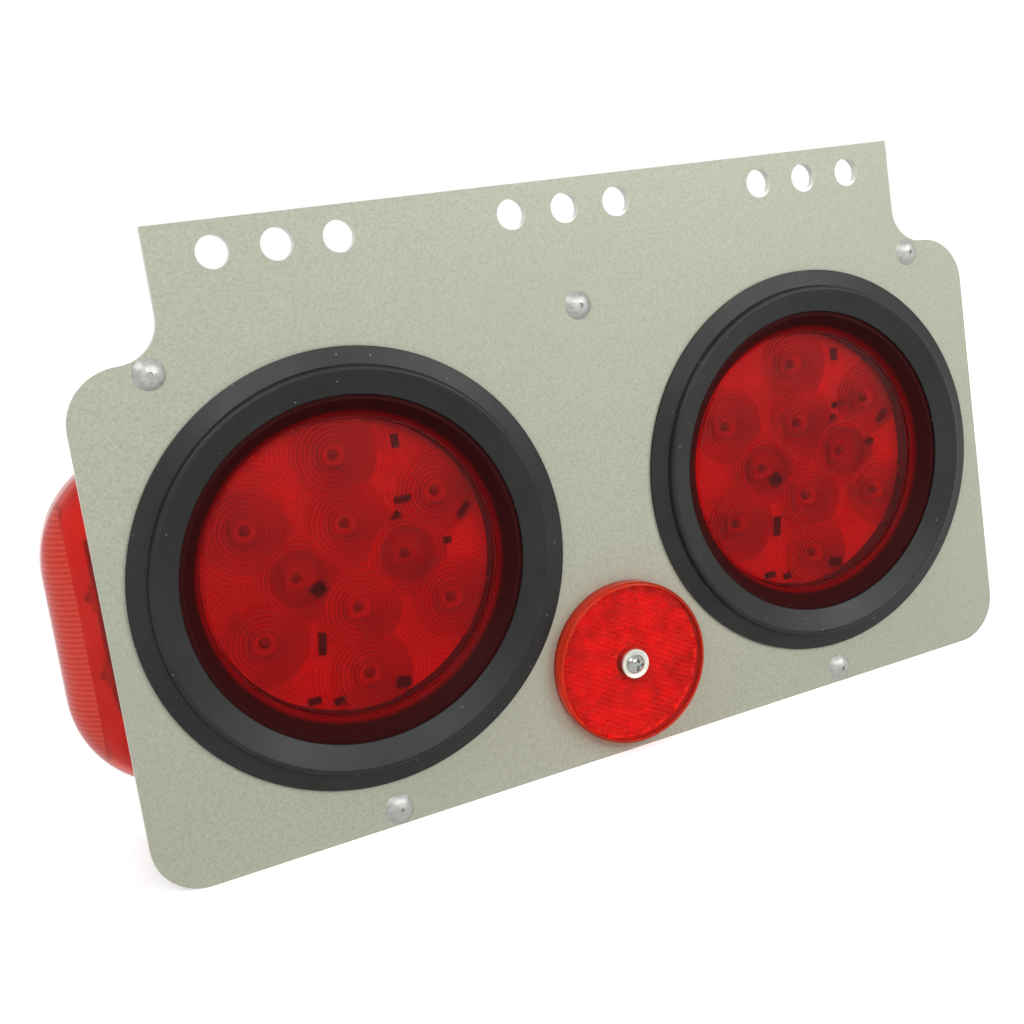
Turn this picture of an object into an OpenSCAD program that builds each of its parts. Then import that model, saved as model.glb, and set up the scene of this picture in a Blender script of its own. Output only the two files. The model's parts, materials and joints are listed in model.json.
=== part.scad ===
// Trailer light module: two round lamps in rubber grommets, a round reflector and a side marker lamp on a
// riveted front plate with a bolt-up tab, closed behind by a folded sheet housing with two end caps.
// The origin is the centre of the middle bolt hole on the plate's rear face. +Z is up and the front faces -Y.

/* [Front plate] */
// Width of the plate below its tab
plate_w = 325.4; // [316:0.1:400]
// Height from the bottom edge to the shoulders
plate_h = 157.5; // [156:0.1:200]
// Thickness of the plate
plate_t = 3; // [2:0.1:4]
// Radius of the two bottom corners
corner_r = 16; // [8:0.1:20]
// Radius of the two shoulders
shoulder_r = 16.8; // [8:0.1:17]

/* [Mounting tab] */
// Width of the tab
tab_w = 266.7; // [250:0.1:266.8]
// Height of the tab above the shoulders
tab_h = 37.9; // [30:0.1:60]
// Radius of the hollow between the tab and a shoulder
neck_r = 12.5; // [4:0.1:12.5]
// Height of the tab's top edge above the row of bolt holes
hole_edge = 9.5; // [8:0.1:14]
// Diameter of a bolt hole
hole_d = 10; // [6:0.1:12]
// Distance between the holes of one group
hole_pitch = 19.05; // [14:0.05:24]
// Distance between the middle holes of two groups
group_pitch = 95.25; // [70:0.05:105]

/* [Rear housing] */
// Depth of the housing behind the plate
housing_depth = 66; // [54:0.5:90]
// Distance from the plate's side edge to the housing's end
housing_inset = 8.5; // [5:0.1:9]
// Thickness of the folded sheet
sheet_t = 1.5; // [1:0.1:1.8]
// Inside radius of each bend
bend_r = 1.5; // [1:0.1:1.8]
// Length of the tabs folded from an end cap
cap_tab = 12; // [8:0.5:16]
// Diameter of the cable hole in the rear wall
cable_hole_d = 19; // [14:0.5:26]
// Diameter of the cable that the inlet takes
cable_bore_d = 12.7; // [8:0.1:13]
// Length of a drain slot in the bottom wall
drain_l = 20; // [10:1:30]

/* [Rivets] */
// Diameter of a rivet's shank
rivet_d = 4.9; // [3.2:0.1:5]
// Diameter of a rivet's head
rivet_head_d = 9.6; // [8:0.1:10]
// Height of a rivet's head
rivet_head_h = 2.3; // [1.5:0.1:3]
// Distance from the outer top rivets to the plate's side edge
rivet_side = 24.7; // [22:0.1:30]
// Distance from the top rivets to the shoulder line
rivet_top = 3.6; // [3.4:0.1:6]
// Distance from the bottom rivets to the bottom edge
rivet_foot = 5.4; // [4.9:0.1:8]

/* [Round lamps] */
// Diameter of the lens flange that the grommet holds
lamp_d = 112.6; // [90:0.1:114]
// Distance from a grommet to the plate's side edge
lamp_side = 6.45; // [2:0.05:9]
// Distance from a grommet to the plate's bottom edge
lamp_foot = 14.95; // [13:0.05:18]
// Thickness of the lens flange
lens_flange_t = 3; // [2:0.1:3.6]
// Height of the lens flange's front in front of the plate
lens_rise = 0.8; // [0.4:0.1:1.2]
// Depth of the lens face behind the plate's front
lens_sink = 5; // [3:0.1:6]
// Thickness of the lens face
lens_t = 2.6; // [2:0.1:3]
// Depth of the lamp body behind the plate's front
lamp_depth = 28.6; // [24:0.1:34]
// Width of an LED's square body
led_w = 7.6; // [5:0.1:8]
// Distance between the rings of an LED's optic
optic_pitch = 1.5; // [1.3:0.1:2.5]
// Depth of the rings of an LED's optic
optic_h = 0.6; // [0.3:0.05:0.8]

/* [Grommets] */
// Rubber between the lens flange and the plate
web_t = 3.1; // [2.5:0.1:4]
// Reach of the front flange over the plate
grommet_reach = 9.25; // [8:0.05:11]
// Height of the crest in front of the plate
crest_h = 4.9; // [4:0.1:6]
// Reach of the lip over the lens flange
lip_reach = 1.85; // [1:0.05:2.2]
// Thickness of the lip
lip_t = 1.1; // [0.8:0.1:1.4]

/* [Reflector] */
// Diameter of the reflector
reflector_d = 55.6; // [45:0.1:60]
// Height of the reflector's rim in front of the plate
reflector_h = 5.6; // [4.8:0.1:8]
// Height of the reflector's centre above the plate's bottom edge
reflector_z = 31.6; // [31:0.1:40]
// Diameter of the reflector's screw
screw_d = 4; // [3:0.1:5]

/* [Side marker lamp] */
// Length of the lens along the housing's end
marker_l = 104; // [90:0.5:116]
// Width of the lens
marker_w = 46; // [42:0.5:52]
// Height of the lens over the end cap
marker_h = 21.8; // [20:0.1:28]
// Radius of the lens's rounded edge
marker_r = 19.5; // [10:0.1:20]
// Radius of the curve that takes the lens's ends down to the cap
marker_end_r = 35; // [30:0.5:36]
// Height of the lamp's centre above the round lamps' centres
marker_rise = -7; // [-10:0.5:5]
// Distance between the ribs of the lens
rib_pitch = 1.65; // [1.5:0.05:4]
// Height of a rib
rib_h = 0.5; // [0.2:0.05:0.8]

/* [Hidden] */
$fn = 96;
left = -1;
right = 1;
// How far a cut runs past a face
over = 1;

paint = "#b0b1a0";
zinc = "#c9ccd0";
rubber = "#2e3030";
lens_red = "#b51618";
board_white = "#e8e4da";
black = "#1c1d1f";

// Heights, all from the row of bolt holes
tab_top = hole_edge;
shoulder_z = tab_top - tab_h;
bottom_z = shoulder_z - plate_h;

// Radii of a grommet, from the lamp outwards
lamp_gap = 0.3;
lamp_r = lamp_d / 2;
groove_r = lamp_r + lamp_gap;
web_r = groove_r + web_t;
cutout_r = web_r + lamp_gap;
grommet_r = cutout_r + grommet_reach;
lip_r = lamp_r - lip_reach;
barb_r = cutout_r + 2.5;
barb_l = 6;

// Places of the lamps
lamp_x = plate_w / 2 - lamp_side - grommet_r;
lamp_z = bottom_z + lamp_foot + grommet_r;

// Lens and lamp body, in depth behind the plate's front and radius from the lamp's axis
lens_back = lens_sink + lens_t;
face_r = lamp_r - 8.4;
mouth_r = lamp_r - 3.4;
skirt_r = lamp_r - 4.5;
skirt_t = 2;
skirt_end = 12;
spigot_front = lens_back + 0.2;
bead_w = 0.8;
bead_h = 0.4;
bead_r = face_r - 0.8;
led_t = 1.8;
led_dome_r = led_t - 0.1;
board_t = 1.6;
board_front = lens_back + 0.5 + led_dome_r + led_t;
board_back = board_front + board_t;
board_r = skirt_r - skirt_t - 2.8;
body_wall = 2.6;
led_ring_r = face_r - 12.2;
led_inner_x = led_ring_r * 0.496;
led_inner_z = led_ring_r * 0.384;

// Optics on the back of the lens, one over each LED
optic_land = 0.12;
optic_core_r = 3;
optic_reach = 13.5;
optic_wall = 0.4;
optic_rings = floor((optic_reach - optic_core_r) / optic_pitch);
dome_optic_r = 9;
dome_optic_h = 0.9;
dome_optic_gap = 0.05;
optic_edge_r = bead_r - bead_w;

// Three-pin socket on the back of a lamp
socket_w = 40;
socket_h = 17;
socket_l = 12.4;
socket_wall = 2.5;
pin_r = 1.6;
pin_pitch = 9.5;

// Rivets
rivet_r = rivet_d / 2;
rivet_tail_r = 3.3;
rivet_tail_l = 3.4;
tail_gap = 0.1;
rivet_top_z = shoulder_z - rivet_top;
rivet_bottom_z = bottom_z + rivet_foot;
rivet_top_x = plate_w / 2 - rivet_side;

// Housing: outside of its walls
fold_r = bend_r + sheet_t;
housing_x = plate_w / 2 - housing_inset;
housing_top = rivet_top_z - rivet_tail_r - bend_r - tail_gap;
housing_bottom = rivet_bottom_z + rivet_tail_r + bend_r + tail_gap;
flange_edge = 0.3;
drain_w = 5;
drain_x = 60;
cable_z = lamp_z;

// Reflector, in height above the plate's front and radius from its own axis
reflector_r = reflector_d / 2;
reflector_rim = 1.3;
reflector_skirt = 1.1;
reflector_face_t = 2.2;
reflector_face_h = reflector_h - 0.4;
reflector_back_t = 1;
washer_r = 4.9;
washer_t = 0.7;
washer_rim = 0.5;
screw_r = screw_d / 2;
screw_gap = 0.3;
screw_head_r = screw_r + 1.2;
screw_head_h = 2.3;
lock_t = 1;
nut_af = 7;
nut_t = 3.2;
screw_l = 9;

// Side marker lamp, in height over the end cap
marker_y = housing_depth / 2;
marker_z = lamp_z + marker_rise;
gasket_t = 1.5;
marker_wall = 2;
marker_gap = 0.2;
marker_base_t = 2.5;
marker_screw_x = marker_l / 2 - 15;
marker_screw_r = 1.9;
marker_board_h = 6;
marker_board_l = 52;
marker_board_w = 26;
marker_led_x = 12.6;
marker_led_rise = -2.5;
post_x = 21;
post_y = 9;
post_r = 2.2;
marker_tier_h = 13.8;
rib_gap = rib_pitch * 0.45;
rib_end = marker_l / 2 - 8;
wire_hole_r = 6;
wire_lip = 2;

function on_circle(c, r, turn) = c + r * [cos(turn), sin(turn)];

// Points of an arc, from one turn to another
function arc(c, r, from, to, steps = 10) =
    [for (i = [0 : steps]) on_circle(c, r, from + (to - from) * i / steps)];

// Turn at which the straight line that touches two circles on their outer side meets both
function tangent_turn(c1, r1, c2, r2) = let (v = c2 - c1) atan2(v.y, v.x) + acos((r1 - r2) / norm(v));

// Centres of a lamp's LEDs: six round the edge and four within
led_places = concat(
    [for (k = [0 : 5]) led_ring_r * [cos(30 + 60 * k), sin(30 + 60 * k)]],
    [[led_inner_x, 0], [-led_inner_x, 0], [0, led_inner_z], [0, -led_inner_z]]
);

// Small dark parts between the LEDs: place, turn and plan size
resistor_places = [
    [[21, 36], 90, [4.5, 2.2]], [[20.5, 17], 0, [5.5, 2]], [[40, 9.5], 45, [5.5, 2]],
    [[-11.3, -5.4], 30, [4, 4]], [[-13, -23], 80, [7, 2.4]], [[33, 0.5], 0, [3, 2]], [[17.5, 12], 45, [3, 2]],
    [[-18.5, -40.5], 0, [4, 2]], [[-10.5, -42.5], 10, [4, 2]], [[11, -42], -10, [5, 3]]
];
resistor_h = 1.2;

// The part of an outline that is nearer to a than to b, less half of the wall between their optics
function nearer(points, a, b) =
    let (middle = (a + b) / 2 - optic_wall / 2 * (b - a) / norm(b - a), last = len(points) - 1)
    let (past = [for (p = points) (p - middle) * (b - a)])
    [for (i = [0 : last]) let (next = i == last ? 0 : i + 1) each concat(
        past[i] <= 0 ? [points[i]] : [],
        past[i] * past[next] < 0
            ? [points[i] + (points[next] - points[i]) * past[i] / (past[i] - past[next])]
            : []
    )];

// The outline of all that is nearer to one LED than to any other, within a square as wide as the lamp
function led_cell(own, points = lamp_r * [[-1, -1], [1, -1], [1, 1], [-1, 1]], i = 0) =
    i == len(led_places) ? points
    : led_cell(own, led_places[i] == own ? points : nearer(points, own, led_places[i]), i + 1);

// The sliver between a square corner at the origin and the quarter circle that rounds it
module spandrel(r) {
    difference() {
        square(r);
        translate([r, r]) circle(r);
    }
}

// A slot with round ends, lying along X
module slot(length, width) {
    square([length - width, width], center = true);
    for (side = [left, right]) translate([side * (length - width) / 2, 0]) circle(width / 2);
}

// Stands a drawing up: its Y becomes +Z, and it is extruded back from the given depth
module stood(depth, t) {
    translate([0, depth + t, 0]) rotate([90, 0, 0]) linear_extrude(t) children();
}

// Turns local Z to run back from the plate's front face at x, z
module from_front(x, z) {
    translate([x, -plate_t, z]) rotate([-90, 0, 0]) children();
}

module round_bar(from, to, r) {
    translate([0, 0, from]) cylinder(h = to - from, r = r);
}

// Outline of the plate below its tab, drawn in by inset all round
module body_outline(inset = 0) {
    half = plate_w / 2 - inset;
    low = bottom_z + inset;
    high = shoulder_z - inset;
    difference() {
        translate([-half, low]) square([2 * half, high - low]);
        for (side = [left, right]) scale([side, 1]) {
            translate([-half, low]) spandrel(corner_r - inset);
            translate([-half, high]) scale([1, -1]) spandrel(shoulder_r - inset);
        }
    }
}

module plate_outline() {
    body_outline();
    translate([-tab_w / 2, shoulder_z - over]) square([tab_w, tab_h + over]);
    for (side = [left, right]) scale([side, 1]) translate([tab_w / 2, shoulder_z]) spandrel(neck_r);
}

module at_rivets() {
    for (x = [-rivet_top_x, 0, rivet_top_x]) from_front(x, rivet_top_z) children();
    for (side = [left, right]) from_front(side * lamp_x, rivet_bottom_z) children();
}

module front_plate() {
    color(paint) difference() {
        stood(-plate_t, plate_t) plate_outline();
        for (group = [-1 : 1]) for (k = [-1 : 1])
            from_front(group * group_pitch + k * hole_pitch, 0) round_bar(-over, plate_t + over, hole_d / 2);
        for (side = [left, right]) from_front(side * lamp_x, lamp_z) round_bar(-over, plate_t + over, cutout_r);
        at_rivets() round_bar(-over, plate_t + over, rivet_r);
        from_front(0, bottom_z + reflector_z) round_bar(-over, plate_t + over, screw_r + screw_gap);
    }
}

// A rectangle with its two far corners rounded
module folded_end(depth, height, r) {
    difference() {
        square([depth, height]);
        translate([depth, 0]) scale([-1, 1]) spandrel(r);
        translate([depth, height]) scale([-1, -1]) spandrel(r);
    }
}

// Section of the housing across its length: X is depth behind the plate, Y is height
module housing_section() {
    inner_low = housing_bottom + sheet_t;
    inner_high = housing_top - sheet_t;
    difference() {
        union() {
            translate([0, housing_bottom])
                folded_end(housing_depth, housing_top - housing_bottom, fold_r);
            translate([0, bottom_z]) square([sheet_t, plate_h]);
            translate([sheet_t, housing_top]) spandrel(bend_r);
            translate([sheet_t, housing_bottom]) scale([1, -1]) spandrel(bend_r);
        }
        translate([-over, inner_low])
            folded_end(housing_depth - sheet_t + over, inner_high - inner_low, bend_r);
        translate([0, inner_high]) spandrel(fold_r);
        translate([0, inner_low]) scale([1, -1]) spandrel(fold_r);
    }
}

module rear_housing() {
    color(zinc) difference() {
        intersection() {
            translate([-housing_x, 0, 0]) rotate([90, 0, 90]) linear_extrude(2 * housing_x) housing_section();
            stood(-over, housing_depth + 2 * over) body_outline(flange_edge);
        }
        at_rivets() round_bar(0, plate_t + sheet_t + over, rivet_r);
        translate([0, housing_depth, cable_z]) rotate([90, 0, 0])
            round_bar(-over, sheet_t + over, cable_hole_d / 2);
        for (side = [left, right]) translate([side * drain_x, housing_depth / 2, housing_bottom - over])
            linear_extrude(sheet_t + 2 * over) slot(drain_l, drain_w);
    }
}

// Panel with one edge folded over: X is thickness, Y runs along the panel to the fold
module angle_section(length) {
    difference() {
        square([cap_tab, length]);
        translate([sheet_t, -over]) square([cap_tab, length - sheet_t + over]);
        translate([0, length]) scale([1, -1]) spandrel(fold_r);
    }
    translate([sheet_t, length - sheet_t]) scale([1, -1]) spandrel(bend_r);
}

// End cap of the housing's left end, with tabs folded inwards at its top, bottom and back
module end_cap() {
    low = housing_bottom + sheet_t;
    high = housing_top - sheet_t;
    middle = (low + high) / 2;
    back = housing_depth - sheet_t;
    relief = fold_r + 1;
    translate([-housing_x, 0, 0]) {
        for (flip = [1, -1]) translate([0, 0, middle]) scale([1, 1, flip])
            translate([0, back - relief, 0]) rotate([90, 0, 0])
                linear_extrude(back - relief) angle_section((high - low) / 2);
        translate([0, 0, low + relief]) linear_extrude(high - low - 2 * relief) angle_section(back);
    }
}

module right_end_cap() {
    color(zinc) scale([-1, 1, 1]) end_cap();
}

// The left cap is also cut for the marker lamp's screws and wires
module left_end_cap() {
    color(zinc) difference() {
        end_cap();
        at_marker() {
            for (side = [left, right]) translate([side * marker_screw_x, 0, 0])
                round_bar(-sheet_t - over, over, marker_screw_r);
            round_bar(-sheet_t - over, over, wire_hole_r);
        }
    }
}

module rivet() {
    dome_r = (pow(rivet_head_d / 2, 2) + pow(rivet_head_h, 2)) / (2 * rivet_head_h);
    grip = plate_t + sheet_t;
    difference() {
        intersection() {
            round_bar(-rivet_head_h, 0, rivet_head_d / 2);
            translate([0, 0, dome_r - rivet_head_h]) sphere(dome_r);
        }
        round_bar(-rivet_head_h - over, -rivet_head_h + 0.7, 0.8);
    }
    round_bar(0, grip, rivet_r);
    round_bar(grip, grip + rivet_tail_l, rivet_tail_r);
}

module rivets() {
    color(zinc) at_rivets() rivet();
}

// Rubber ring that snaps into a round hole in a sheet: its groove takes the sheet, its lips grip both faces
module snap_ring(hole_r, bore_r, lip, lip_h, sheet) {
    rotate_extrude() difference() {
        translate([bore_r, -lip_h]) square([hole_r + lip - bore_r, sheet + 2 * lip_h]);
        translate([hole_r, 0]) square([lip + over, sheet]);
        for (face = [[-lip_h, 1], [sheet + lip_h, -1]])
            translate([hole_r + lip, face[0]]) scale([-1, face[1]]) spandrel(lip_h * 0.8);
    }
}

module cable_grommet() {
    color(rubber) translate([0, housing_depth, cable_z]) rotate([90, 0, 0])
        snap_ring(cable_hole_d / 2, cable_bore_d / 2, 3, 2.4, sheet_t);
}

// Section of a lamp's grommet: X is radius, Y is depth behind the plate's front
module grommet_section() {
    rim_h = 1;
    ledge = [cutout_r + 3.7, -2.6];
    crest_round = 1.3;
    crest = [cutout_r + 2.1, crest_round - crest_h];
    lip_round = lip_t / 2;
    lip = [lip_r + lip_round, -lens_rise - lip_round];
    step_turn = tangent_turn(ledge, 0, crest, crest_round);
    funnel_turn = tangent_turn(crest, crest_round, lip, lip_round) - 360;
    flange_back = lens_flange_t - lens_rise;
    bore_r = skirt_r + 0.2;
    polygon(concat(
        [[grommet_r, 0], [grommet_r, -rim_h], ledge],
        arc(crest, crest_round, step_turn, funnel_turn),
        arc(lip, lip_round, funnel_turn, -270),
        [
            [groove_r, -lens_rise], [groove_r, flange_back], [bore_r, flange_back], [bore_r, plate_t + barb_l],
            [web_r - 1, plate_t + barb_l], [barb_r, plate_t + 2.6], [barb_r, plate_t], [web_r, plate_t],
            [web_r, 0]
        ]
    ));
}

module grommet(side) {
    color(rubber) from_front(side * lamp_x, lamp_z) rotate_extrude() grommet_section();
}

// Section of a lamp's lens: a flange, a funnel down to the sunken face, and a skirt over the lamp body
module lens_section() {
    flange_back = lens_flange_t - lens_rise;
    polygon([
        [0, lens_sink], [bead_r - bead_w / 2, lens_sink], [bead_r - bead_w / 4, lens_sink - bead_h],
        [bead_r + bead_w / 4, lens_sink - bead_h], [bead_r + bead_w / 2, lens_sink], [face_r, lens_sink],
        [mouth_r, -lens_rise], [lamp_r, -lens_rise], [lamp_r, flange_back],
        [skirt_r, flange_back], [skirt_r, skirt_end], [skirt_r - skirt_t, skirt_end],
        [skirt_r - skirt_t, lens_sink + 0.6], [face_r + 0.3, lens_back], [0, lens_back]
    ]);
}

// Cut for a ring lens: each ring slopes away from its centre and steps back up
module ring_optic() {
    ring_w = optic_pitch - optic_land;
    for (k = [0 : optic_rings - 1]) translate([optic_core_r + k * optic_pitch, 0])
        polygon([[0, 0], [ring_w, -optic_h], [ring_w, over], [0, over]]);
}

// Cut for a plain round lens, with rings beyond its rim
module dome_optic() {
    dome_r = (pow(dome_optic_r, 2) + pow(dome_optic_h, 2)) / (2 * dome_optic_h);
    difference() {
        translate([0, -dome_optic_h]) square([dome_optic_r, dome_optic_h + over]);
        translate([0, -dome_r - dome_optic_gap]) circle(dome_r);
    }
    difference() {
        ring_optic();
        translate([0, -lens_t]) square([dome_optic_r + optic_land, 2 * lens_t]);
    }
}

module lens(side) {
    color(lens_red, 0.6) from_front(side * lamp_x, lamp_z) difference() {
        rotate_extrude() lens_section();
        for (p = led_places) intersection() {
            translate([p.x, -p.y, lens_back]) rotate_extrude()
                if (abs(p.x) == led_inner_x) dome_optic();
                else ring_optic();
            translate([0, 0, lens_sink]) linear_extrude(lens_t + over) intersection() {
                scale([1, -1]) polygon(led_cell(p));
                circle(optic_edge_r);
            }
        }
    }
}

// Section of a lamp body: a cup whose spigot fits the lens's skirt and whose ledge holds the board
module body_section() {
    polygon([
        [skirt_r - skirt_t, spigot_front], [skirt_r - skirt_t, skirt_end], [skirt_r, skirt_end],
        [skirt_r - 0.6, lamp_depth - 3], [skirt_r - 3.6, lamp_depth], [0, lamp_depth],
        [0, lamp_depth - body_wall], [board_r - 2.5, lamp_depth - body_wall], [board_r - 2.5, board_back],
        [board_r + 0.2, board_back], [board_r + 0.2, spigot_front]
    ]);
}

module lamp_housing(side) {
    socket_end = lamp_depth + socket_l;
    color(black) from_front(side * lamp_x, lamp_z) difference() {
        union() {
            rotate_extrude() body_section();
            translate([0, 0, lamp_depth - over]) linear_extrude(socket_l + over) slot(socket_w, socket_h);
        }
        translate([0, 0, lamp_depth + socket_wall]) linear_extrude(socket_l)
            slot(socket_w - 2 * socket_wall, socket_h - 2 * socket_wall);
        for (k = [-1 : 1]) translate([k * pin_pitch, 0, 0]) round_bar(board_back, socket_end, pin_r);
    }
}

module contact_pins(side) {
    color("#c8a24a") from_front(side * lamp_x, lamp_z) for (k = [-1 : 1])
        translate([k * pin_pitch, 0, 0]) round_bar(board_back, lamp_depth + socket_l - 1.5, pin_r);
}

module circuit_board(side) {
    color(board_white) from_front(side * lamp_x, lamp_z) round_bar(board_front, board_back, board_r);
}

module leds(side) {
    color("#d8d4cc") from_front(side * lamp_x, lamp_z) for (p = led_places)
        translate([p.x, -p.y, board_front - led_t]) {
            translate([-led_w / 2, -led_w / 2, 0]) cube([led_w, led_w, led_t]);
            sphere(led_dome_r);
        }
}

module resistors(side) {
    color(black) from_front(side * lamp_x, lamp_z) for (place = resistor_places)
        translate([place[0].x, -place[0].y, board_front - resistor_h]) rotate([0, 0, -place[1]])
            linear_extrude(resistor_h) square(place[2], center = true);
}

// Stacks a piece on the plate in front of the reflector's screw hole, with local Z running forwards
module on_plate() {
    translate([0, -plate_t, bottom_z + reflector_z]) rotate([90, 0, 0]) children();
}

module reflector_lens() {
    bore_r = screw_r + screw_gap;
    face_back = reflector_face_h - reflector_face_t;
    color(lens_red) on_plate() rotate_extrude() difference() {
        translate([bore_r, 0]) square([reflector_r - bore_r, reflector_h]);
        translate([reflector_r, reflector_h]) scale([-1, -1]) spandrel(1.2);
        translate([0, reflector_face_h]) square([reflector_r - reflector_rim, reflector_h]);
        translate([reflector_r - reflector_rim, reflector_face_h]) circle(0.4);
        translate([washer_r, reflector_back_t])
            square([reflector_r - reflector_skirt - washer_r, face_back - reflector_back_t]);
        translate([0, -over]) square([reflector_r - reflector_skirt, reflector_back_t + over]);
    }
}

module reflector_back() {
    color(board_white) on_plate() difference() {
        round_bar(0, reflector_back_t, reflector_r - reflector_skirt);
        round_bar(-over, reflector_back_t + over, screw_r + screw_gap);
    }
}

module reflector_washer() {
    color(zinc) on_plate() translate([0, 0, reflector_face_h]) difference() {
        round_bar(0, washer_t + washer_rim, washer_r);
        round_bar(-over, washer_t + over, screw_r + screw_gap);
        translate([0, 0, washer_t])
            cylinder(h = washer_rim + 0.01, r1 = screw_head_r + 0.3, r2 = washer_r - 0.4);
    }
}

module reflector_screw() {
    seat = reflector_face_h + washer_t;
    color(zinc) on_plate() {
        difference() {
            translate([0, 0, seat]) intersection() {
                round_bar(0, screw_head_h, screw_head_r);
                translate([0, 0, screw_head_h - 4]) sphere(4);
            }
            for (turn = [80, 170]) translate([0, 0, seat + 1]) rotate([0, 0, turn])
                translate([-2.1, -0.5, 0]) cube([4.2, 1, screw_head_h]);
        }
        round_bar(-plate_t - screw_l, seat, screw_r);
    }
}

module reflector_lock_washer() {
    color(zinc) on_plate() translate([0, 0, -plate_t - lock_t]) difference() {
        round_bar(0, lock_t, screw_head_r + 0.4);
        round_bar(-over, lock_t + over, screw_r + 0.05);
        translate([0, -0.4, -over]) cube([nut_af, 0.8, lock_t + 2 * over]);
    }
}

module reflector_nut() {
    color(zinc) on_plate() translate([0, 0, -plate_t - lock_t - nut_t]) difference() {
        cylinder(h = nut_t, r = nut_af / 2 / cos(30), $fn = 6);
        round_bar(-over, nut_t + over, screw_r);
    }
}

// Turns local Z to run outwards from the left end cap, local X upwards and local Y backwards
module at_marker() {
    translate([-housing_x, marker_y, marker_z]) rotate([0, -90, 0]) children();
}

// Section across the marker lamp, drawn in by inset: X is height over the cap, Y runs across
module marker_section(inset) {
    half = marker_w / 2 - inset;
    crown = marker_h - inset;
    difference() {
        translate([0, -half]) square([crown, 2 * half]);
        for (side = [left, right]) translate([crown, side * half]) scale([-1, -side])
            spandrel(marker_r - inset);
    }
}

// The marker lamp's form between two heights: its section runs straight, and turns down to the cap at both
// ends. The straight part is rounded to 0.01 mm, so that the three pieces meet exactly.
module marker_form(inset, from, to) {
    axis = marker_h - marker_end_r;
    flat = round(100 * (marker_l / 2 - sqrt(pow(marker_end_r, 2) - pow(axis, 2)))) / 100;
    intersection() {
        union() {
            rotate([0, -90, 0]) linear_extrude(2 * flat, center = true) marker_section(inset);
            for (side = [left, right]) scale([side, 1, 1]) translate([flat, 0, axis])
                rotate([-90, -90, 0]) rotate_extrude(angle = 90) translate([-axis, 0]) marker_section(inset);
        }
        translate([-marker_l, -marker_w, from]) cube([2 * marker_l, 2 * marker_w, to - from]);
    }
}

// Ribs run across the inside of the lens's upper tier
module marker_lens() {
    ribs = floor(rib_end / rib_pitch);
    color(lens_red, 0.6) at_marker() difference() {
        marker_form(0, gasket_t, marker_h);
        marker_form(marker_wall, 0, marker_h);
        intersection() {
            marker_form(marker_wall - rib_h, marker_tier_h, marker_h);
            for (k = [-ribs : ribs]) translate([k * rib_pitch - rib_gap / 2, -marker_w, marker_tier_h])
                cube([rib_gap, 2 * marker_w, marker_h]);
        }
    }
}

module at_marker_screws() {
    for (side = [left, right]) translate([side * marker_screw_x, 0, 0]) children();
}

module marker_base() {
    inset = marker_wall + marker_gap;
    color(black) at_marker() difference() {
        union() {
            marker_form(inset, gasket_t, gasket_t + marker_base_t);
            for (x = [-post_x, post_x]) for (y = [-post_y, post_y]) translate([x, y, 0])
                round_bar(gasket_t, marker_board_h, post_r);
        }
        at_marker_screws() round_bar(0, marker_h, marker_screw_r);
        round_bar(0, marker_h, wire_hole_r - 2);
    }
}

module marker_gasket() {
    color(rubber) at_marker() difference() {
        marker_form(0, 0, gasket_t);
        at_marker_screws() round_bar(-over, gasket_t + over, marker_screw_r);
        round_bar(-over, gasket_t + over, wire_hole_r + wire_lip + marker_gap);
    }
}

module marker_board() {
    color(board_white) at_marker() translate([0, 0, marker_board_h]) linear_extrude(board_t)
        square([marker_board_l, marker_board_w], center = true);
}

module marker_leds() {
    top = marker_board_h + board_t;
    color("#d8d4cc") at_marker() for (side = [left, right])
        translate([marker_led_rise + side * marker_led_x, 0, top]) {
            translate([-led_w / 2, -led_w / 2, 0]) cube([led_w, led_w, led_t]);
            translate([0, 0, led_t]) sphere(led_dome_r);
        }
}

module marker_screws() {
    seat = gasket_t + marker_base_t;
    color(zinc) at_marker() at_marker_screws() {
        round_bar(seat, seat + 2.2, marker_screw_r + 1.5);
        round_bar(-sheet_t - 5, seat, marker_screw_r);
        translate([0, 0, -sheet_t - 7]) cylinder(h = 2, r1 = 0.4, r2 = marker_screw_r);
    }
}

module marker_wire_grommet() {
    color(rubber) at_marker() translate([0, 0, -sheet_t])
        snap_ring(wire_hole_r, wire_hole_r - 2.5, wire_lip, 1.2, sheet_t);
}

front_plate();
rear_housing();
left_end_cap();
right_end_cap();
rivets();
cable_grommet();
grommet(left);  // left_grommet
lens(left);  // left_lens
lamp_housing(left);  // left_lamp_housing
circuit_board(left);  // left_circuit_board
leds(left);  // left_leds
resistors(left);  // left_resistors
contact_pins(left);  // left_contact_pins
grommet(right);  // right_grommet
lens(right);  // right_lens
lamp_housing(right);  // right_lamp_housing
circuit_board(right);  // right_circuit_board
leds(right);  // right_leds
resistors(right);  // right_resistors
contact_pins(right);  // right_contact_pins
reflector_lens();
reflector_back();
reflector_washer();
reflector_screw();
reflector_lock_washer();
reflector_nut();
marker_lens();
marker_base();
marker_gasket();
marker_board();
marker_leds();
marker_screws();
marker_wire_grommet();
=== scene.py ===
"""Looks of the trailer light module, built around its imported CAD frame."""

import json
import math

import bmesh
import bpy
from mathutils import Matrix, Vector


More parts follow.
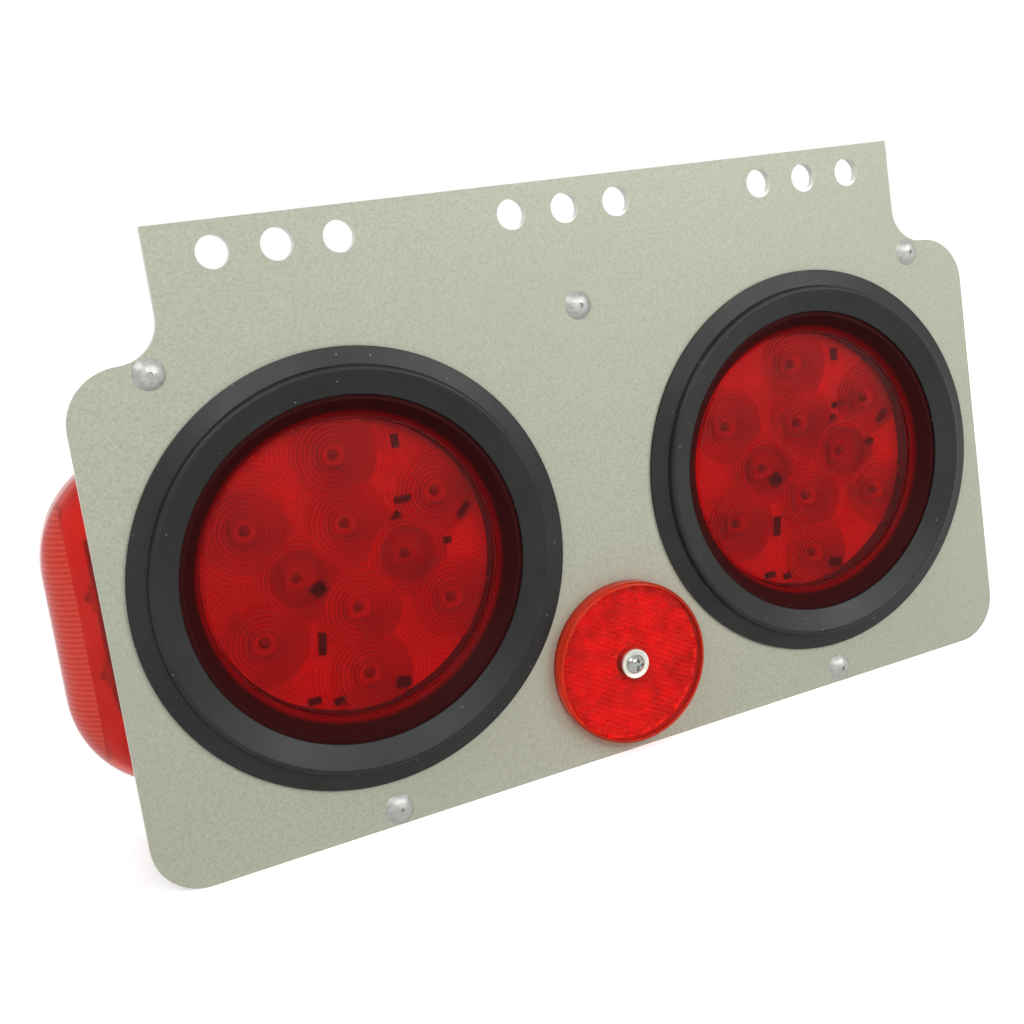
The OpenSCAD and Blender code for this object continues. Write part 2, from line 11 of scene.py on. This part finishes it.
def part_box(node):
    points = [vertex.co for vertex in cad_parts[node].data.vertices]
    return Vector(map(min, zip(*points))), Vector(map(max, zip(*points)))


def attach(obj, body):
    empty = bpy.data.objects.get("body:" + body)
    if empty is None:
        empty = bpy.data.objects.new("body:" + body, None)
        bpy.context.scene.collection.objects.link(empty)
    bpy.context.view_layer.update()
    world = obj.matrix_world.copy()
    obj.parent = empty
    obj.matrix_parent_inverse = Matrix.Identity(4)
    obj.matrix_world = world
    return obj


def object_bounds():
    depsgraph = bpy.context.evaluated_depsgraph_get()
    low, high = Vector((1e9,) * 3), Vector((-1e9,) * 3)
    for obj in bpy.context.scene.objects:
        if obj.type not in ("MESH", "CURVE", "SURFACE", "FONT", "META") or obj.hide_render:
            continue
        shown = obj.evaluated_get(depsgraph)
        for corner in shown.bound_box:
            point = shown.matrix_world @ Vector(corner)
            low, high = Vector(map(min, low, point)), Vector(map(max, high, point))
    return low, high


MM = 0.001

# Camera, as solved from the photograph's circles and rivets
TARGET = Vector((-0.01616, 0.0, -0.07501))
CAMERA_DISTANCE = 0.4154
CAMERA_AZIMUTH, CAMERA_ELEVATION, CAMERA_ROLL = (math.radians(a) for a in (-23.82, 8.09, -8.22))
CAMERA_LENS = 44.06
CAMERA_SHIFT = (-0.0358, -0.0688)

# Strength of the light from all round, and of the floor's own glow under the object, where white is 1. The
# glow rises to white between two distances from the origin, in metres.
WORLD_LIGHT = 0.2
FLOOR_GLOW = 0.5
FLOOR_GLOW_REACH = (0.3, 1.2)
FLOOR_HALF_WIDTH = 6.0

# Height over the end cap at which the side marker's ribs begin, and the distance between them
MARKER_TIER = 13.8 * MM
RIB_PITCH = 1.65 * MM

# Distance between the corner cubes behind the reflector's face, how far they keep from the washer and from
# the back disc's edge, and how far they stand off that disc
PRISM_PITCH = 1.95 * MM
PRISM_MARGIN = 0.2 * MM
PRISM_GAP = 0.1 * MM

# Depth of the rings on the back of a round lamp's lens, the distance between them, how far the modelled ones
# reach, the radius of their middle that gets the darkest painted shade, and the direction of the painted
# light on their slopes
OPTIC_DEPTH = 0.6 * MM
OPTIC_PITCH = 1.5 * MM
OPTIC_REACH = 13.5 * MM
OPTIC_SHADED_CORE = 4 * MM
PAINTED_LIGHT_SLOPE = (0.5, 0.0, -0.85)

# Places of a lamp's LEDs from its axis: six on a ring and four within
LED_RING = 35.7 * MM
LED_PLACES = [
    (LED_RING * math.cos(math.radians(angle)), LED_RING * math.sin(math.radians(angle)))
    for angle in range(30, 390, 60)
]
LED_PLACES += [(17.7 * MM, 0.0), (-17.7 * MM, 0.0), (0.0, 13.7 * MM), (0.0, -13.7 * MM)]

# Depth of the back of a round lamp's face behind the plate's rear face
LENS_BACK = 4.6 * MM

# Radii of a round lamp's sunken face, and of the reflector's
LAMP_FACE_RADIUS = 47.9 * MM
REFLECTOR_FACE_RADIUS = 26.5 * MM

# Each softbox's place and size in metres, and its power in watts. All of them aim at the same point.
LIT_POINT = Vector((0, 0, -0.08))
SOFTBOXES = {
    "top": ((-1.0, -0.6, 1.1), (0.8, 0.6), 9),
    "key": ((-0.15, -1.3, 0.65), (0.35, 0.25), 7),
    "side": ((0.85, -1.2, 0.5), (0.9, 0.7), 12),
    "back": ((0.5, 1.3, 0.9), (0.9, 0.7), 9),
}


def srgb(red, green, blue):
    """A colour as read off a screen, 0 to 255, as the linear colour that a shader takes."""
    def linear(value):
        value /= 255
        return value / 12.92 if value <= 0.04045 else ((value + 0.055) / 1.055) ** 2.4
    return (linear(red), linear(green), linear(blue), 1.0)


def scaled(colour, factor):
    return tuple(c * factor for c in colour[:3]) + (1.0,)


class Shader:
    """A material under construction: its node tree, and its Principled shader."""

    def __init__(self, name):
        self.material = bpy.data.materials.new(name)
        self.material.use_nodes = True
        self.tree = self.material.node_tree
        self.surface = self.tree.nodes["Principled BSDF"]
        self.output = self.tree.nodes["Material Output"]
        self.place = self.add("ShaderNodeTexCoord").outputs["Object"]

    def add(self, kind, inputs=None, **settings):
        """A new node. An input's value is a number, a colour or the socket that feeds it."""
        node = self.tree.nodes.new(kind)
        for key, value in settings.items():
            setattr(node, key, value)
        for key, value in (inputs or {}).items():
            self.feed(node.inputs[key], value)
        return node

    def feed(self, socket, value):
        if isinstance(value, bpy.types.NodeSocket):
            self.tree.links.new(value, socket)
        else:
            socket.default_value = value

    def set(self, **inputs):
        """Sets inputs of the Principled shader, named with underscores for spaces."""
        for key, value in inputs.items():
            self.feed(self.surface.inputs[key.replace("_", " ")], value)

    def noise(self, size, detail=2.0, roughness=0.5):
        """Noise from 0 to 1 whose features are about size metres across."""
        inputs = {"Vector": self.place, "Scale": 1 / size, "Detail": detail, "Roughness": roughness}
        return self.add("ShaderNodeTexNoise", inputs).outputs["Fac"]

    def axes(self):
        """The place on the object, as sockets named X, Y and Z."""
        return self.add("ShaderNodeSeparateXYZ", {0: self.place}).outputs

    def facing(self):
        """The direction that the surface faces, as sockets named X, Y and Z."""
        normal = self.add("ShaderNodeNewGeometry").outputs["True Normal"]
        return self.add("ShaderNodeSeparateXYZ", {0: normal}).outputs

    def radius(self, centre, mirrored=False):
        """Distance in metres from the axis along Y through centre, or from the nearer of it and its mirror
        image."""
        place = self.axes()
        across = self.math("ABSOLUTE", place["X"]) if mirrored else place["X"]
        across = self.math("SUBTRACT", across, abs(centre.x) if mirrored else centre.x)
        up = self.math("SUBTRACT", place["Z"], centre.z)
        squares = [self.math("POWER", side, 2.0) for side in (across, up)]
        return self.math("SQRT", self.math("ADD", *squares))

    def ramp(self, value, low, high, to_low=0.0, to_high=1.0):
        """Maps a value from low..high to to_low..to_high, held at the ends."""
        inputs = {"Value": value, "From Min": low, "From Max": high, "To Min": to_low, "To Max": to_high}
        return self.add("ShaderNodeMapRange", inputs).outputs["Result"]

    def math(self, operation, *values):
        node = self.add("ShaderNodeMath", operation=operation)
        for socket, value in zip(node.inputs, values):
            self.feed(socket, value)
        return node.outputs[0]

    def blend(self, share, first, second, how="MIX"):
        """Mixes two colours by a share from 0 to 1."""
        node = self.add("ShaderNodeMix", data_type="RGBA", blend_type=how)
        self.feed(node.inputs[0], share)
        self.feed(node.inputs[6], first)
        self.feed(node.inputs[7], second)
        return node.outputs[2]

    def bump(self, height, depth, strength=1.0):
        """Adds a bump of that depth in metres. Several are stacked."""
        normal = self.surface.inputs["Normal"]
        inputs = {"Height": height, "Distance": depth, "Strength": strength}
        if normal.is_linked:
            inputs["Normal"] = normal.links[0].from_socket
        self.feed(normal, self.add("ShaderNodeBump", inputs).outputs["Normal"])

    def let_lamps_through(self, tint):
        """Shadow rays pass the surface with a tint, so that what a clear lens covers is lit."""
        shadow = self.add("ShaderNodeLightPath").outputs["Is Shadow Ray"]
        clear = self.add("ShaderNodeBsdfTransparent", {"Color": tint}).outputs[0]
        mix = self.add("ShaderNodeMixShader", {0: shadow, 1: self.surface.outputs[0], 2: clear})
        self.tree.links.new(mix.outputs[0], self.output.inputs["Surface"])


def middle_of(node):
    low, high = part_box(node)
    return (low + high) / 2


def radius_of(node):
    low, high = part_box(node)
    return (high.x - low.x) / 2


def speckle(shader, size, share):
    """Scattered specks about size metres across that cover roughly a share of the surface."""
    cells = shader.add("ShaderNodeTexVoronoi", {"Vector": shader.place, "Scale": 1 / size})
    pick = shader.add("ShaderNodeSeparateColor", {0: cells.outputs["Color"]}).outputs[0]
    return shader.math("LESS_THAN", pick, share)


def plate_paint():
    shader = Shader("satin_silver_paint")
    base = srgb(161, 162, 146)
    flakes = shader.noise(0.0008, detail=2.0)
    mottle = shader.noise(0.0016, detail=3.0, roughness=0.6)
    drift = shader.noise(0.09, detail=2.0)
    colour = shader.blend(shader.ramp(flakes, 0.35, 0.65), scaled(base, 0.85), scaled(base, 1.15))
    colour = shader.blend(shader.ramp(mottle, 0.3, 0.7, 0.0, 0.6), colour, scaled(base, 0.93))
    colour = shader.blend(shader.ramp(drift, 0.3, 0.7, 0.0, 0.35), colour, srgb(154, 154, 136))
    # Faces that turn sideways, the plate's cut edges and the walls of its holes, are painted near white: a
    # painted highlight of light catching the edges.
    edge_highlight = shader.ramp(shader.math("ABSOLUTE", shader.facing()["Y"]), 0.3, 0.7, 1.0, 0.0)
    colour = shader.blend(edge_highlight, colour, srgb(232, 232, 224))
    shader.set(Base_Color=colour, Metallic=0.1, Roughness=shader.ramp(mottle, 0.2, 0.8, 0.38, 0.52))
    shader.bump(mottle, 0.00003, 0.35)
    shader.bump(flakes, 0.00003, 0.5)
    return shader.material


def housing_paint():
    shader = Shader("satin_silver_paint_on_sheet")
    base = srgb(168, 169, 154)
    flakes = shader.noise(0.0004, detail=1.0)
    drift = shader.noise(0.05, detail=3.0)
    colour = shader.blend(shader.ramp(flakes, 0.35, 0.65), scaled(base, 0.94), scaled(base, 1.06))
    colour = shader.blend(shader.ramp(drift, 0.35, 0.7, 0.0, 0.4), colour, scaled(base, 0.86))
    shader.set(Base_Color=colour, Metallic=0.25, Roughness=shader.ramp(drift, 0.2, 0.8, 0.4, 0.55))
    shader.bump(flakes, 0.00002, 0.4)
    return shader.material


def rivet_metal():
    shader = Shader("rivet_aluminium")
    grain = shader.noise(0.0012, detail=4.0)
    colour = shader.blend(shader.ramp(grain, 0.3, 0.7), srgb(148, 149, 145), srgb(176, 177, 173))
    shader.set(Base_Color=colour, Metallic=0.55, Roughness=shader.ramp(grain, 0.25, 0.75, 0.36, 0.5))
    shader.bump(shader.noise(0.0025, detail=1.0), 0.00006, 0.5)
    return shader.material


def zinc(centre, head_radius):
    """Zinc plating: bright on the screw that stands at centre, and duller on the washer round its head."""
    shader = Shader("zinc_plating")
    grain = shader.noise(0.0009, detail=3.0)
    red_share = shader.blend(shader.ramp(grain, 0.3, 0.7), srgb(132, 134, 131), srgb(178, 179, 175))
    dull = shader.blend(shader.ramp(grain, 0.3, 0.7), srgb(212, 212, 200), srgb(230, 230, 219))
    washer = shader.ramp(shader.radius(centre), head_radius, head_radius + 0.1 * MM)
    shader.set(
        Base_Color=shader.blend(washer, red_share, dull),
        Metallic=shader.ramp(washer, 0.0, 1.0, 1.0, 0.25),
        Roughness=shader.ramp(washer, 0.0, 1.0, 0.18, 0.45),
    )
    return shader.material


def brass():
    shader = Shader("contact_brass")
    grain = shader.noise(0.0007)
    colour = shader.blend(shader.ramp(grain, 0.3, 0.7), srgb(176, 146, 88), srgb(214, 186, 120))
    shader.set(Base_Color=colour, Metallic=1.0, Roughness=0.3)
    return shader.material


def rubber():
    shader = Shader("moulded_rubber")
    grain = shader.noise(0.0005, detail=2.0)
    bloom = shader.noise(0.02, detail=4.0, roughness=0.6)
    colour = shader.blend(shader.ramp(grain, 0.3, 0.7), srgb(26, 27, 26), srgb(34, 36, 34))
    colour = shader.blend(shader.ramp(bloom, 0.45, 0.75, 0.0, 0.5), colour, srgb(44, 46, 45))
    dust = speckle(shader, 0.0004, 0.0006)
    colour = shader.blend(dust, colour, srgb(120, 120, 112))
    shader.set(
        Base_Color=colour,
        Roughness=shader.ramp(bloom, 0.3, 0.7, 0.34, 0.46),
        Specular_IOR_Level=0.2,
    )
    shader.bump(grain, 0.00003, 0.5)
    return shader.material


def painted_optic_shading(shader, centre, depth):
    """Painted light and shade on the LEDs' optics, as a brightness factor: by the slope of their rings
    against the painted light, by how deep these are cut, and darker near the nearest LED. Past the modelled
    rings, more rings go on as painted lines of shade."""
    place = shader.axes()
    slope = shader.add("ShaderNodeNewGeometry").outputs["True Normal"]
    # Painted light and shade: ring slopes that face the painted light's direction are brightened, the others
    # darkened.
    painted_light = shader.add("ShaderNodeVectorMath", {0: slope, 1: PAINTED_LIGHT_SLOPE}, operation="DOT_PRODUCT")
    rings = shader.ramp(painted_light.outputs["Value"], -0.3, 0.3, 0.75, 1.15)
    # Painted shade across each cut ring: brighter at its shallow edge, darker at its deep one.
    rings = shader.math("MULTIPLY", rings, shader.ramp(depth, 0.0, OPTIC_DEPTH, 1.25, 0.5))
    lamp = shader.math("MULTIPLY", shader.math("SIGN", place["X"]), abs(centre.x))
    across = shader.math("SUBTRACT", place["X"], lamp)
    up = shader.math("SUBTRACT", place["Z"], centre.z)
    spot = shader.add("ShaderNodeCombineXYZ", {"X": across, "Z": up}).outputs[0]
    nearest = 1.0
    for x, z in LED_PLACES:
        away = shader.add("ShaderNodeVectorMath", {0: spot, 1: (x, 0.0, z)}, operation="DISTANCE")
        nearest = shader.math("MINIMUM", nearest, away.outputs["Value"])
    # Past the modelled rings, painted lines of light and shade carry the rings on.
    painted_ring_lines = shader.math("COSINE", shader.math("MULTIPLY", nearest, math.tau / OPTIC_PITCH))
    painted_ring_lines = shader.ramp(painted_ring_lines, -0.7, 0.7, 0.8, 1.14)
    beyond = shader.math("GREATER_THAN", nearest, OPTIC_REACH)
    rings = shader.math("MULTIPLY", rings, shader.ramp(beyond, 0.0, 1.0, 1.0, painted_ring_lines))
    # Painted shade darkens the middle of each optic, around its LED.
    return shader.math("MULTIPLY", rings, shader.ramp(nearest, OPTIC_SHADED_CORE, OPTIC_REACH, 0.78, 1.0))


def lamp_lens(centre, back):
    """Deep red acrylic. Painted light and shade from the optics on its back is multiplied into the red, and
    the funnel round the sunken face is painted dark maroon: partly the dark housing seen through clear red,
    partly painted shade.
    """
    shader = Shader("red_lamp_lens")
    cloud = shader.noise(0.012, detail=2.0)
    red = shader.blend(shader.ramp(cloud, 0.3, 0.7), srgb(172, 10, 15), srgb(188, 15, 18))
    depth = shader.math("SUBTRACT", back, shader.axes()["Y"])
    at_back = shader.math("LESS_THAN", depth, 2 * OPTIC_DEPTH)
    # Painted light and shade from the optics brightens and darkens the red on the lens's back.
    shade = shader.ramp(at_back, 0.0, 1.0, 1.0, painted_optic_shading(shader, centre, depth))
    red = shader.blend(1.0, red, shade, "MULTIPLY")
    # The funnel round the sunken face is painted dark maroon, partly the dark housing seen through clear red
    # and partly painted shade; the red fades out over the first 1.8 mm past the face.
    radius = shader.radius(centre, mirrored=True)
    face = shader.ramp(radius, LAMP_FACE_RADIUS, LAMP_FACE_RADIUS + 0.2 * MM, 1.0, 0.0)
    red_share = shader.ramp(radius, LAMP_FACE_RADIUS, LAMP_FACE_RADIUS + 1.8 * MM, 0.6, 0.0)
    red_share = shader.math("MAXIMUM", red_share, face)
    cut = shader.ramp(shader.math("MULTIPLY", at_back, depth), 0.0, 0.02 * MM, 0.09, 0.36)
    shader.set(
        Base_Color=shader.blend(red_share, srgb(56, 15, 16), red),
        Roughness=shader.ramp(face, 0.0, 1.0, 0.5, cut),
        IOR=1.18,
        Specular_IOR_Level=0.15,
        Transmission_Weight=shader.ramp(face, 0.0, 1.0, 0.3, 0.96),
    )
    shader.let_lamps_through(srgb(235, 60, 50))
    return shader.material


def marker_lens(cap, centre):
    """Orange-red acrylic. The ribbed tier scatters light, and the plain one near the end cap is clearer."""
    shader = Shader("orange_red_marker_lens")
    place = shader.axes()
    ribbed = shader.ramp(shader.math("SUBTRACT", cap, place["X"]), MARKER_TIER, MARKER_TIER + 0.4 * MM)
    along = shader.math("SUBTRACT", place["Z"], centre.z)
    # On the ribbed tier, lighter and darker lines along the ribs are painted light and shade.
    rib = shader.math("COSINE", shader.math("MULTIPLY", along, math.tau / RIB_PITCH))
    cloud = shader.noise(0.01, detail=2.0)
    colour = shader.blend(shader.ramp(cloud, 0.3, 0.7), srgb(212, 60, 48), srgb(222, 80, 62))
    painted_rib_shading = shader.blend(shader.ramp(rib, -0.6, 0.6), srgb(210, 62, 54), srgb(228, 88, 68))
    shader.set(
        Base_Color=shader.blend(ribbed, colour, painted_rib_shading),
        Roughness=shader.ramp(ribbed, 0.0, 1.0, 0.09, 0.14),
        IOR=1.22,
        Specular_IOR_Level=0.4,
        Transmission_Weight=shader.ramp(ribbed, 0.0, 1.0, 0.85, 0.3),
    )
    shader.let_lamps_through(srgb(252, 150, 120))
    return shader.material


def reflector_lens(centre, face_radius):
    """Orange-red acrylic: the face shows the prisms behind it, and the rim scatters more light."""
    shader = Shader("orange_red_reflector")
    cloud = shader.noise(0.01, detail=2.0)
    colour = shader.blend(shader.ramp(cloud, 0.3, 0.7), srgb(230, 72, 54), srgb(240, 88, 62))
    face = shader.ramp(shader.radius(centre), face_radius, face_radius + 0.3 * MM, 1.0, 0.0)
    shader.set(
        Base_Color=shader.blend(face, srgb(226, 66, 34), colour),
        Roughness=0.05,
        IOR=1.2,
        Specular_IOR_Level=0.3,
        Transmission_Weight=shader.ramp(face, 0.0, 1.0, 0.6, 0.98),
    )
    shader.let_lamps_through(shader.blend(face, srgb(90, 24, 16), srgb(250, 160, 130)))
    return shader.material


def prism_red():
    """The corner cubes behind the reflector's face, which send light back in many directions."""
    shader = Shader("reflector_prisms")
    patch = shader.noise(0.006, detail=3.0, roughness=0.6)
    colour = shader.blend(shader.ramp(patch, 0.35, 0.65), srgb(200, 70, 56), srgb(232, 100, 76))
    shader.set(Base_Color=colour, Metallic=0.6, Roughness=0.2)
    return shader.material


def plastic(name, dark, light, size=0.0006, roughness=(0.35, 0.5)):
    """Moulded plastic or solder mask, mottled between two colours."""
    shader = Shader(name)
    grain = shader.noise(size, detail=3.0)
    colour = shader.blend(shader.ramp(grain, 0.3, 0.7), dark, light)
    shader.set(Base_Color=colour, Roughness=shader.ramp(grain, 0.25, 0.75, *roughness))
    shader.bump(grain, 0.00002, 0.3)
    return shader.material


def led_body():
    """A pale package, with a clear dome that looks darker."""
    shader = Shader("led_body")
    grain = shader.noise(0.0008)
    pale = shader.blend(shader.ramp(grain, 0.3, 0.7), srgb(210, 205, 194), srgb(226, 221, 211))
    facing = shader.facing()
    squarest = 0.0
    for axis in ("X", "Y", "Z"):
        squarest = shader.math("MAXIMUM", squarest, shader.math("ABSOLUTE", facing[axis]))
    flat = shader.ramp(squarest, 0.995, 0.9995)
    shader.set(Base_Color=shader.blend(flat, srgb(140, 132, 120), pale), Roughness=0.2, Coat_Weight=0.3)
    return shader.material


def dress(nodes, subparts, materials):
    """Gives every CAD node its material, by the name of its slot in the record."""
    for part in subparts:
        node = nodes[part["node"]]
        node.data.materials.clear()
        node.data.materials.append(materials[part["material_slot"]])


def add_prisms():
    """Corner cubes behind the reflector's face. Their corners form a triangular net at three heights in turn,
    as the corners of stacked cubes do when they are seen along a diagonal."""
    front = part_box("reflector_back")[0].y - PRISM_GAP
    centre = middle_of("reflector_back")
    outer = radius_of("reflector_back") - PRISM_MARGIN
    inner = radius_of("reflector_washer") + PRISM_MARGIN
    step = PRISM_PITCH / math.sqrt(3)
    rise = step / math.sqrt(2)
    reach = int(outer / step) * 2
    mesh = bpy.data.meshes.new("reflector_prisms")
    builder = bmesh.new()
    corners = {}

    def corner(i, j):
        if (i, j) not in corners:
            place = Vector((i + j / 2, 0, j * math.sqrt(3) / 2)) * step
            place += Vector((centre.x, front - rise * ((i - j) % 3), centre.z))
            corners[i, j] = builder.verts.new(place)
        return corners[i, j]

    ring = ((1, 0), (0, 1), (-1, 1), (-1, 0), (0, -1), (1, -1))
    for i in range(-reach, reach + 1):
        for j in range(-reach, reach + 1):
            if (i - j) % 3:
                continue
            from_centre = math.hypot((i + j / 2) * step, j * math.sqrt(3) / 2 * step)
            if not inner + step < from_centre < outer - step:
                continue
            for k in (0, 2, 4):
                around = [(i, j)] + [(i + ring[(k + n) % 6][0], j + ring[(k + n) % 6][1]) for n in range(3)]
                builder.faces.new([corner(*place) for place in around])
    builder.to_mesh(mesh)
    builder.free()
    mesh.materials.append(prism_red())
    prisms = bpy.data.objects.new("reflector_prisms", mesh)
    bpy.context.scene.collection.objects.link(prisms)
    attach(prisms, "root")


def make_camera():
    """The photograph's camera. It looks at the target from its azimuth and elevation, rolled and shifted."""
    data = bpy.data.cameras.new("camera")
    data.lens = CAMERA_LENS
    data.shift_x, data.shift_y = CAMERA_SHIFT
    data.clip_start = 0.01
    back = Vector((
        math.sin(CAMERA_AZIMUTH) * math.cos(CAMERA_ELEVATION),
        -math.cos(CAMERA_AZIMUTH) * math.cos(CAMERA_ELEVATION),
        math.sin(CAMERA_ELEVATION),
    ))
    level = Vector((0, 0, 1)).cross(back).normalized()
    turn = Matrix.Rotation(CAMERA_ROLL, 4, back)
    right = turn @ level
    up = back.cross(right)
    camera = bpy.data.objects.new("camera", data)
    camera.matrix_world = Matrix((
        (right.x, up.x, back.x, 0),
        (right.y, up.y, back.y, 0),
        (right.z, up.z, back.z, 0),
        (0, 0, 0, 1),
    ))
    camera.location = TARGET + back * CAMERA_DISTANCE
    bpy.context.scene.collection.objects.link(camera)
    bpy.context.scene.camera = camera


def make_softbox(name, place, size, power):
    data = bpy.data.lights.new(name, "AREA")
    data.shape = "RECTANGLE"
    data.size, data.size_y = size
    data.energy = power
    lamp = bpy.data.objects.new(name, data)
    lamp.location = place
    lamp.rotation_mode = "QUATERNION"
    lamp.rotation_quaternion = (LIT_POINT - Vector(place)).to_track_quat("-Z", "Y")
    bpy.context.scene.collection.objects.link(lamp)


def make_floor(low):
    """A pale floor under the object that reads as white and keeps the object's soft shadow."""
    mesh = bpy.data.meshes.new("floor")
    builder = bmesh.new()
    bmesh.ops.create_grid(builder, x_segments=1, y_segments=1, size=FLOOR_HALF_WIDTH)
    builder.to_mesh(mesh)
    builder.free()
    floor = bpy.data.objects.new("floor", mesh)
    floor.location = (0, 0, low)
    bpy.context.scene.collection.objects.link(floor)
    shader = Shader("pale_floor")
    path = shader.add("ShaderNodeLightPath").outputs
    shader.set(Base_Color=(0.8, 0.8, 0.8, 1), Roughness=0.9)
    seen = shader.math("MAXIMUM", path["Is Camera Ray"], path["Is Glossy Ray"])
    seen = shader.math("MAXIMUM", seen, path["Is Transmission Ray"])
    distance = shader.add("ShaderNodeVectorMath", {0: shader.place}, operation="LENGTH").outputs["Value"]
    glow = shader.ramp(distance, *FLOOR_GLOW_REACH, FLOOR_GLOW, 1.0)
    strength = shader.math("MULTIPLY", seen, glow)
    shader.set(Emission_Color=(1, 1, 1, 1), Emission_Strength=strength)
    mesh.materials.append(shader.material)


def make_world():
    world = bpy.data.worlds.new("studio")
    world.use_nodes = True
    tree = world.node_tree
    background = tree.nodes["Background"]
    path = tree.nodes.new("ShaderNodeLightPath").outputs
    seen = path["Is Camera Ray"]
    for kind in ("Is Glossy Ray", "Is Transmission Ray"):
        either = tree.nodes.new("ShaderNodeMath")
        either.operation = "MAXIMUM"
        tree.links.new(seen, either.inputs[0])
        tree.links.new(path[kind], either.inputs[1])
        seen = either.outputs[0]
    strength = tree.nodes.new("ShaderNodeMix")
    tree.links.new(seen, strength.inputs["Factor"])
    strength.inputs["A"].default_value = WORLD_LIGHT
    strength.inputs["B"].default_value = 1.0
    background.inputs["Color"].default_value = (1, 1, 1, 1)
    tree.links.new(strength.outputs[0], background.inputs["Strength"])
    bpy.context.scene.world = world


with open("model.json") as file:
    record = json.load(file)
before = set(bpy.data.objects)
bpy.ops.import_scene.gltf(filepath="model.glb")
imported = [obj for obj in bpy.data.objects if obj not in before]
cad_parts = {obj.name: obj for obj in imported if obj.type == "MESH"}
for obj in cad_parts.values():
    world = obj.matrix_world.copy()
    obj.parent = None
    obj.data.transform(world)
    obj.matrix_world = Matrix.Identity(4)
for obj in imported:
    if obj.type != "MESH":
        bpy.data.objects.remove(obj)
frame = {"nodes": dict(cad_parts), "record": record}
cad_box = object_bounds()

dress(frame["nodes"], frame["record"]["subparts"], {
    "plate_paint": plate_paint(),
    "housing_paint": housing_paint(),
    "rivet_aluminium": rivet_metal(),
    "rubber": rubber(),
    "lamp_lens": lamp_lens(middle_of("left_lens"), LENS_BACK),
    "black_plastic": plastic("black_plastic", srgb(26, 27, 28), srgb(38, 39, 40)),
    "board": plastic("pale_solder_mask", srgb(214, 208, 196), srgb(232, 228, 218), 0.004),
    "led": led_body(),
    "resistor": plastic("dark_resistor", srgb(20, 20, 22), srgb(34, 34, 36)),
    "contact_brass": brass(),
    "reflector_lens": reflector_lens(middle_of("reflector_lens"), REFLECTOR_FACE_RADIUS),
    "white_plastic": plastic("pale_plastic", srgb(214, 212, 204), srgb(230, 228, 222)),
    "zinc_steel": zinc(middle_of("reflector_screw"), radius_of("reflector_screw")),
    "marker_lens": marker_lens(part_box("left_end_cap")[0].x, middle_of("marker_lens")),
    "foam": plastic("closed_cell_foam", srgb(24, 24, 25), srgb(42, 42, 43), 0.0008, (0.8, 0.95)),
})

add_prisms()
make_camera()
make_world()
make_floor(cad_box[0].z)
for name, (place, size, power) in SOFTBOXES.items():
    make_softbox(name, place, size, power)

bpy.context.scene.view_settings.view_transform = "Standard"
